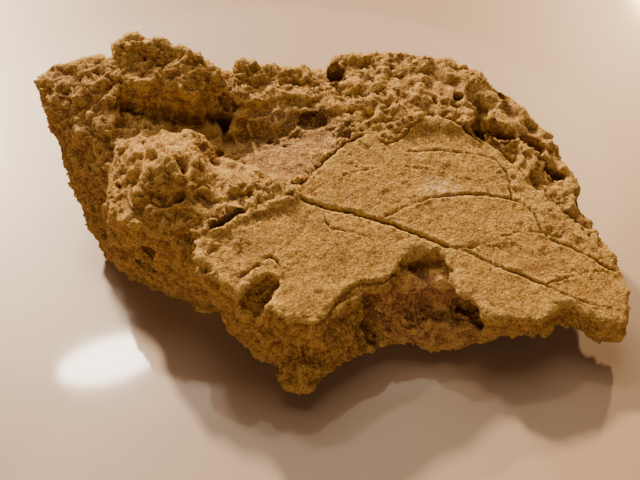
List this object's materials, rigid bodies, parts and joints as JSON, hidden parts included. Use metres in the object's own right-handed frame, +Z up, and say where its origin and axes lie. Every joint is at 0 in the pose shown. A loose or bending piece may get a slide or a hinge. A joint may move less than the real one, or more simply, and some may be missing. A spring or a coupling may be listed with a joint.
{
  "type": "fossil leaf plate",
  "caption": "Rough piece of travertine with the imprint of a leaf, its midrib and side veins, on a smooth upper plate; lies on its flat underside.",
  "frame": {"origin": "a point on the flat underside, near the middle of the area that the stone rests on", "axes": "+X along the stone to the leaf's tip, +Y away from the near broken edge, +Z up"},
  "size_m": [0.1242, 0.0863, 0.0391],
  "materials": {
    "travertine": "matt, ochre to brown, darker in the hollows"
  },
  "bodies": {
    "root": {"fossil_leaf_stone": "travertine"}
  },
  "joints": []
}
